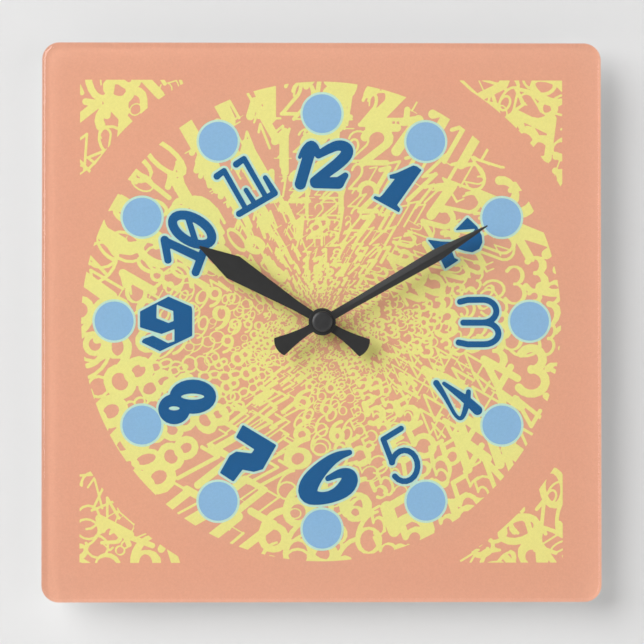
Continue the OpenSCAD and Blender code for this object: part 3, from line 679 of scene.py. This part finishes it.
# 10: bold, with a slashed nought and a slab foot
oval = bow(0, 0, 10.6, 5.7, 0, 360, 28)
nought = [(1.2 + x * 0.866 + y * 0.5, 7.8 - x * 0.5 + y * 0.866) for x, y in oval]
ten = (1.1, -1.0)
pen(numerals, moved(nought, 10, ten), [2.25] * len(nought))
pen(numerals, moved([(-0.7, 13.2), (2.8, 2.2)], 10, ten), [1.5, 1.5])
pen(numerals, moved([(-12, 2.2), (5.2, -5.9)], 10, ten), [2.0, 2.2])
pen(numerals, moved([(-12.2, 2.8), (-10.6, -7)], 10, ten), [2.1, 1.8])
pen(numerals, moved([(6.6, -3), (2.9, -12.9)], 10, ten), [2.0, 2.0])
# 11: thin strokes on a slab, with short extra uprights
eleven = (0.9, 0.0)
pen(numerals, moved([(-14.2, 5.3), (-10.7, 8), (-0.2, -10.4)], 11, eleven), [1.7, 1.4, 1.3])
pen(numerals, moved([(-4.7, 11.2), (-1, 13.9), (9.4, -4.2)], 11, eleven), [1.7, 1.4, 1.3])
pen(numerals, moved([(-3.3, -13), (14, -2.9), (9.4, 4.7)], 11, eleven), [1.6, 1.6, 1.2])
pen(numerals, moved([(0, -1.4), (4, -7.6)], 11, eleven), [1.2, 1.3])
# 12: heavy rounded italic brush
twelve = (-0.5, 1.5)
brush(moved([(-10.1, 3.1), (-8, 7), (-4, 9.9), (-1.2, 4.6)], 12, twelve), [0.9, 1.5, 2.3, 1.9])
pen(numerals, moved([(-4.4, 8.4), (-9.8, -10)], 12, twelve), [2.8, 2.8])
swan = [(-1, 4.2), (3.5, 6.9), (8.7, 9.2), (12.8, 8), (13.4, 5), (10, 1), (3.5, -4), (-2.8, -8.7)]
brush(moved(swan, 12, twelve), [1.8, 2.3, 2.5, 2.8, 3.0, 2.9, 2.7, 2.4])
pen(numerals, moved([(-2.4, -9.4), (8.8, -9.5), (12.2, -5.8)], 12, twelve), [2.7, 2.9, 1.5])
outline_aqua = ink("outline_aqua", (0.43, 0.645, 0.55))
print_ink("print_outlines", np.minimum(dots, numerals), OUTLINE, 0.01758, outline_aqua, OFF_MIDDLE)
dot_blue = ink("dot_blue", (0.215, 0.40, 0.625))
print_ink("print_dots", dots, 0, 0.01761, dot_blue, OFF_MIDDLE)
numeral_blue = ink("numeral_blue", (0.0105, 0.089, 0.245))
print_ink("print_numerals", numerals, 0, 0.01764, numeral_blue, OFF_MIDDLE)

# Clear panel: cast acrylic, laser-cut square with rounded corners, its front edge rounded
# and polished. A hole in the middle takes the movement's bush.
panel_low, panel_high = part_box("dial_panel")
PANEL_CORNER = 0.0085
BUSH_HOLE = 0.0041
EDGE_ROUND = 0.0022
BACK_ROUND = 0.0003
# the panel stops a hair in front of the film, so that the two faces do not coincide
panel_back = panel_high.y - 0.00001
acrylic = bpy.data.materials.new("acrylic")
acrylic.use_nodes = True
acrylic_tree = acrylic.node_tree
acrylic_tree.nodes.remove(acrylic_tree.nodes["Principled BSDF"])
acrylic_glass = acrylic_tree.nodes.new("ShaderNodeBsdfGlass")
acrylic_glass.inputs["IOR"].default_value = 1.49
acrylic_clear = acrylic_tree.nodes.new("ShaderNodeBsdfTransparent")
acrylic_ray = acrylic_tree.nodes.new("ShaderNodeLightPath")
acrylic_mix = acrylic_tree.nodes.new("ShaderNodeMixShader")
acrylic_place = acrylic_tree.nodes.new("ShaderNodeTexCoord")
acrylic_haze = acrylic_tree.nodes.new("ShaderNodeTexNoise")
acrylic_haze.inputs["Scale"].default_value = 70
acrylic_haze.inputs["Detail"].default_value = 4
acrylic_wipe = acrylic_tree.nodes.new("ShaderNodeMapRange")
acrylic_wipe.inputs["To Min"].default_value = 0.0
acrylic_wipe.inputs["To Max"].default_value = 0.03
acrylic_tree.links.new(acrylic_place.outputs["Object"], acrylic_haze.inputs["Vector"])
acrylic_tree.links.new(acrylic_haze.outputs["Fac"], acrylic_wipe.inputs["Value"])
acrylic_tree.links.new(acrylic_wipe.outputs["Result"], acrylic_glass.inputs["Roughness"])
acrylic_tree.links.new(acrylic_ray.outputs["Is Shadow Ray"], acrylic_mix.inputs["Fac"])
acrylic_tree.links.new(acrylic_glass.outputs["BSDF"], acrylic_mix.inputs[1])
acrylic_tree.links.new(acrylic_clear.outputs["BSDF"], acrylic_mix.inputs[2])
acrylic_out = acrylic_tree.nodes["Material Output"]
acrylic_tree.links.new(acrylic_mix.outputs["Shader"], acrylic_out.inputs["Surface"])


def piece(name, bm, material, body, stands_for=(), smooth=30):
    """Makes the shaped bmesh a piece of the clock."""
    mesh = bpy.data.meshes.new(name)
    bm.to_mesh(mesh)
    bm.free()
    for face in mesh.polygons:
        face.use_smooth = True
    mesh.set_sharp_from_angle(angle=math.radians(smooth))
    made = bpy.data.objects.new(name, mesh)
    collection.objects.link(made)
    mesh.materials.append(material)
    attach(made, body)
    if stands_for:
        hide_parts(*stands_for)
    return made


bm = bmesh.new()
half = panel_high.x
inner = half - PANEL_CORNER
rim = []
for k in range(4):
    quarter = [math.radians(90 * k + 90 * n / 14) for n in range(15)]
    sign_x = (1, -1, -1, 1)[k]
    sign_z = (1, 1, -1, -1)[k]
    for a in quarter:
        x = sign_x * inner + PANEL_CORNER * math.cos(a)
        z = sign_z * inner + PANEL_CORNER * math.sin(a)
        rim.append(bm.verts.new((x, panel_back, z)))
rim_edges = [bm.edges.new((a, b)) for a, b in zip(rim, rim[1:] + rim[:1])]
hole_ring = bmesh.ops.create_circle(bm, cap_ends=False, radius=BUSH_HOLE, segments=60)["verts"]
hole_turn = Matrix.Translation((0, panel_back, 0)) @ Matrix.Rotation(math.radians(90), 4, "X")
bmesh.ops.transform(bm, matrix=hole_turn, verts=hole_ring)
hole_edges = list({e for v in hole_ring for e in v.link_edges})
bmesh.ops.bridge_loops(bm, edges=rim_edges + hole_edges)
raised = bmesh.ops.extrude_face_region(bm, geom=bm.faces[:], use_keep_orig=True)
front_verts = [g for g in raised["geom"] if isinstance(g, bmesh.types.BMVert)]
bmesh.ops.translate(bm, verts=front_verts, vec=(0, panel_low.y - panel_back, 0))
bmesh.ops.recalc_face_normals(bm, faces=bm.faces[:])


def on_rim(edge, depth):
    return all(abs(v.co.y - depth) < 1e-6 and math.hypot(v.co.x, v.co.z) > 0.05 for v in edge.verts) and (
        len(edge.link_faces) == 2 and edge.calc_face_angle() > 1)


front_edge = [e for e in bm.edges if on_rim(e, panel_low.y)]
bmesh.ops.bevel(bm, geom=front_edge, offset=EDGE_ROUND, segments=8, profile=0.5,
                affect="EDGES", material=-1, clamp_overlap=True)
back_edge = [e for e in bm.edges if on_rim(e, panel_back)]
bmesh.ops.bevel(bm, geom=back_edge, offset=BACK_ROUND, segments=3, profile=0.5,
                affect="EDGES", material=-1, clamp_overlap=True)
panel = piece("clear_panel", bm, acrylic, "clock", ("dial_panel",), 60)
flat_faces = panel.modifiers.new("flat_faces", "WEIGHTED_NORMAL")
flat_faces.keep_sharp = True

# Washers and nut that clamp the dial on the bush: black rubber behind the panel, a turned
# brass washer and a thin brass nut in front of it.
washer_rubber = finish("washer_rubber", (0.012, 0.012, 0.012), (0.022, 0.022, 0.022), 0.002, (0.7, 0.85))
relief(washer_rubber, 0.0002, 0.00004)
give(washer_rubber, "rubber_washer")
ease_edges("rubber_washer", 0.00015)


def ring(profile, count=96):
    """A turned piece: a closed profile of (radius, distance from the wall) spun once."""
    bm = bmesh.new()
    spots = [bm.verts.new((r, -d, 0)) for r, d in profile]
    edges = [bm.edges.new((a, b)) for a, b in zip(spots, spots[1:])]
    if profile[0][0] > 0:
        edges.append(bm.edges.new((spots[-1], spots[0])))
    bmesh.ops.spin(bm, geom=spots + edges, cent=(0, 0, 0), axis=(0, 1, 0), angle=math.tau,
                   steps=count, use_merge=True)
    bmesh.ops.remove_doubles(bm, verts=bm.verts[:], dist=0.000001)
    bmesh.ops.recalc_face_normals(bm, faces=bm.faces[:])
    return bm


WASHER_RADIUS = 0.0064
washer_profile = [(0.00415, 0.0223), (0.0063, 0.0223), (WASHER_RADIUS, 0.0224), (WASHER_RADIUS, 0.02262),
                  (0.00622, 0.0228), (0.00425, 0.0228), (0.00415, 0.0227)]
piece("dial_washer", ring(washer_profile), turned_brass, "clock", ("brass_washer",))
give(turned_brass, "hex_nut")
ease_edges("hex_nut", 0.0002)

# Hour and minute hands: stamped from aluminium sheet and painted matt black. Each has a
# round boss riveted to its bush. The minute hand is creased along its blade.
hand_black = finish("hand_black", (0.015, 0.015, 0.015), (0.019, 0.019, 0.019), 0.003, (0.36, 0.46))
relief(hand_black, 0.00018, 0.00002, 0.35)
give(hand_black, "hour_collet", "minute_collet")
BOSS = 6.65
TAIL = 25.8
TAIL_ROUND = 8.3


def hand(name, blade, back, front, bearing, crease, body):
    """A hand in millimetres, cut pointing to 12, creased and then turned to its hour."""
    def half_width(at):
        if at < -24.2:
            from_end = at + TAIL
            wide = max(0.1, math.sqrt(max(0.0, TAIL_ROUND ** 2 - (TAIL_ROUND - from_end) ** 2)))
        elif at < 0:
            wide = 2.05 + 2.85 * max(0.0, (-at - 6.05) / 17.55) ** 1.7
            wide = min(wide, 4.9)
        else:
            wide = float(np.interp(at, [p[0] for p in blade], [p[1] for p in blade]))
        boss = math.sqrt(max(0.0, BOSS ** 2 - at ** 2))
        return max(wide, boss)

    tip = blade[-1][0]
    stations = [gap - TAIL for gap in (0, 0.1, 0.3, 0.6, 1.0, 1.4, 1.7)] + [-22 + 2 * k for k in range(8)]
    stations += [-6.3 + 0.9 * k for k in range(15)] + [p[0] for p in blade if p[0] > 7]
    stations += [blade[-2][0] * 0.3, blade[-2][0] * 0.6]
    stations = sorted(stations)
    bm = bmesh.new()
    left = [bm.verts.new((-half_width(s) / 1000, -back, s / 1000)) for s in stations]
    right = [bm.verts.new((half_width(s) / 1000, -back, s / 1000)) for s in stations]
    bm.faces.new(left + right[::-1])
    for s in stations[1:-1]:
        whole = bm.verts[:] + bm.edges[:] + bm.faces[:]
        bmesh.ops.bisect_plane(bm, geom=whole, dist=1e-7, plane_co=(0, 0, s / 1000), plane_no=(0, 0, 1))
    whole = bm.verts[:] + bm.edges[:] + bm.faces[:]
    bmesh.ops.bisect_plane(bm, geom=whole, dist=1e-7, plane_co=(0, 0, 0), plane_no=(1, 0, 0))
    raised = bmesh.ops.extrude_face_region(bm, geom=bm.faces[:], use_keep_orig=True)
    top = [g for g in raised["geom"] if isinstance(g, bmesh.types.BMVert)]
    bmesh.ops.translate(bm, verts=top, vec=(0, back - front, 0))
    bmesh.ops.recalc_face_normals(bm, faces=bm.faces[:])
    for vert in bm.verts:
        at = vert.co.z * 1000
        rise = min(1.0, max(0.0, (at - 8) / 8))
        near_tip = min(1.0, max(0.0, (tip - at) / 6))
        if abs(vert.co.x) > 1e-6:
            vert.co.y += crease * rise * (0.3 + 0.7 * near_tip)
    rim = [e for e in bm.edges if len(e.link_faces) == 2 and e.calc_face_angle() > 1.0
           and e.verts[0] in set(top) and e.verts[1] in set(top)]
    bmesh.ops.bevel(bm, geom=rim, offset=0.00011, segments=2, profile=0.5, affect="EDGES", material=-1)
    to_hour = Matrix.Rotation(math.radians(bearing), 3, "Y")
    bmesh.ops.rotate(bm, verts=bm.verts[:], cent=(0, 0, 0), matrix=to_hour)
    return piece(name + "_blade", bm, hand_black, body, (name,), 12)


hour_blade = [(0, 1.6), (6.4, 1.6), (50.75, 6.15), (70, 0.5)]
minute_blade = [(0, 1.85), (6.4, 1.85), (64.2, 3.2), (93, 0.3)]
hand("hour_hand", hour_blade, 0.0260, 0.0265, 301.5, 0.00030, "hour_hand")
hand("minute_hand", minute_blade, 0.0284, 0.0289, 59.8, 0.00070, "minute_hand")

# Centre cap: a small turned aluminium button, pressed on the seconds arbor in place of a
# second hand and painted black, a little glossier than the hands.
cap_black = finish("cap_black", (0.024, 0.024, 0.025), (0.032, 0.032, 0.033), 0.002, (0.30, 0.40))
relief(cap_black, 0.0003, 0.00001)
cap_profile = [(0, 0.0295), (0.0048, 0.0295), (0.0050, 0.0297), (0.0050, 0.0304), (0.00485, 0.0308),
               (0.0045, 0.03105), (0.0035, 0.03118), (0.0018, 0.03127), (0, 0.0313)]
piece("centre_button", ring(cap_profile), cap_black, "seconds_wheel", ("centre_cap",))
